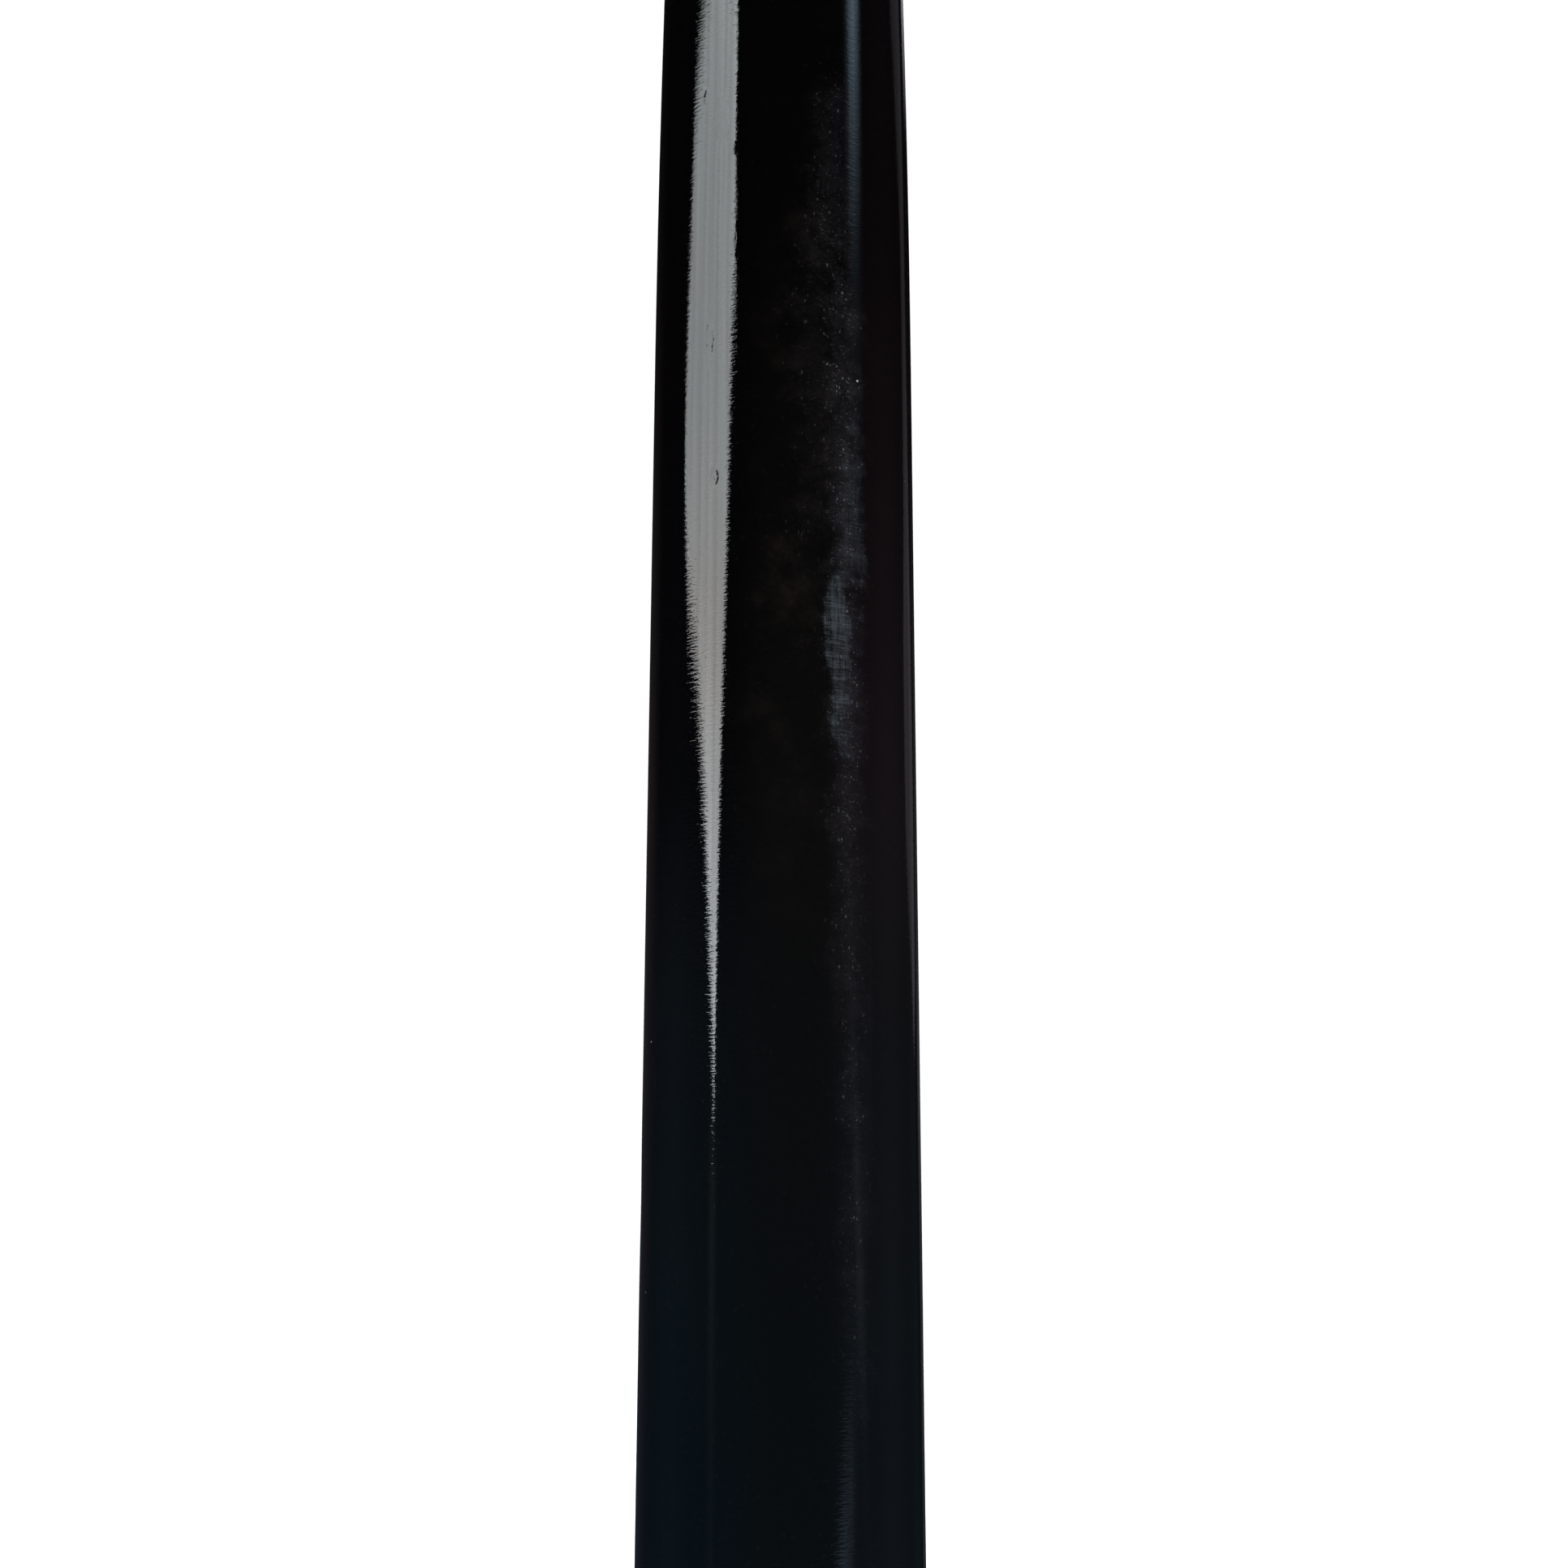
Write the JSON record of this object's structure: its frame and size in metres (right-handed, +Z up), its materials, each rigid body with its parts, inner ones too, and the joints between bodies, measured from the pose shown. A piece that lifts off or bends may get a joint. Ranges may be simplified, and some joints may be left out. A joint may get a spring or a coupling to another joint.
{
  "type": "baseball bat",
  "caption": "plain hollow alloy baseball bat in gloss black lacquer, with a long straight barrel, moulded end cap, wrapped handle and round knob, standing on its end cap",
  "frame": {"origin": "centre of the circle the end cap stands on, on the bat's axis", "axes": "+Z runs up the bat's axis from the end cap to the knob; the bat is round, so +X and +Y are any two directions square to it"},
  "size_m": [0.0572, 0.0572, 0.864],
  "materials": {
    "lacquered_alloy": "gloss",
    "cap_polymer": "satin",
    "adhesive": "satin",
    "foam": "matte",
    "weld_metal": "satin",
    "plug_rubber": "matte",
    "badge_plastic": "satin",
    "backing_tape": "matte",
    "grip_leather": "matte",
    "finish_tape": "satin"
  },
  "bodies": {
    "root": {"bat_tube": "lacquered_alloy", "end_cap": "cap_polymer", "cap_bond": "adhesive", "handle_damper": "foam", "knob": "lacquered_alloy", "knob_weld": "weld_metal", "knob_plug": "plug_rubber", "knob_badge": "badge_plastic", "grip_backing_tape": "backing_tape", "grip_wrap": "grip_leather", "grip_finish_tape": "finish_tape"}
  },
  "joints": []
}
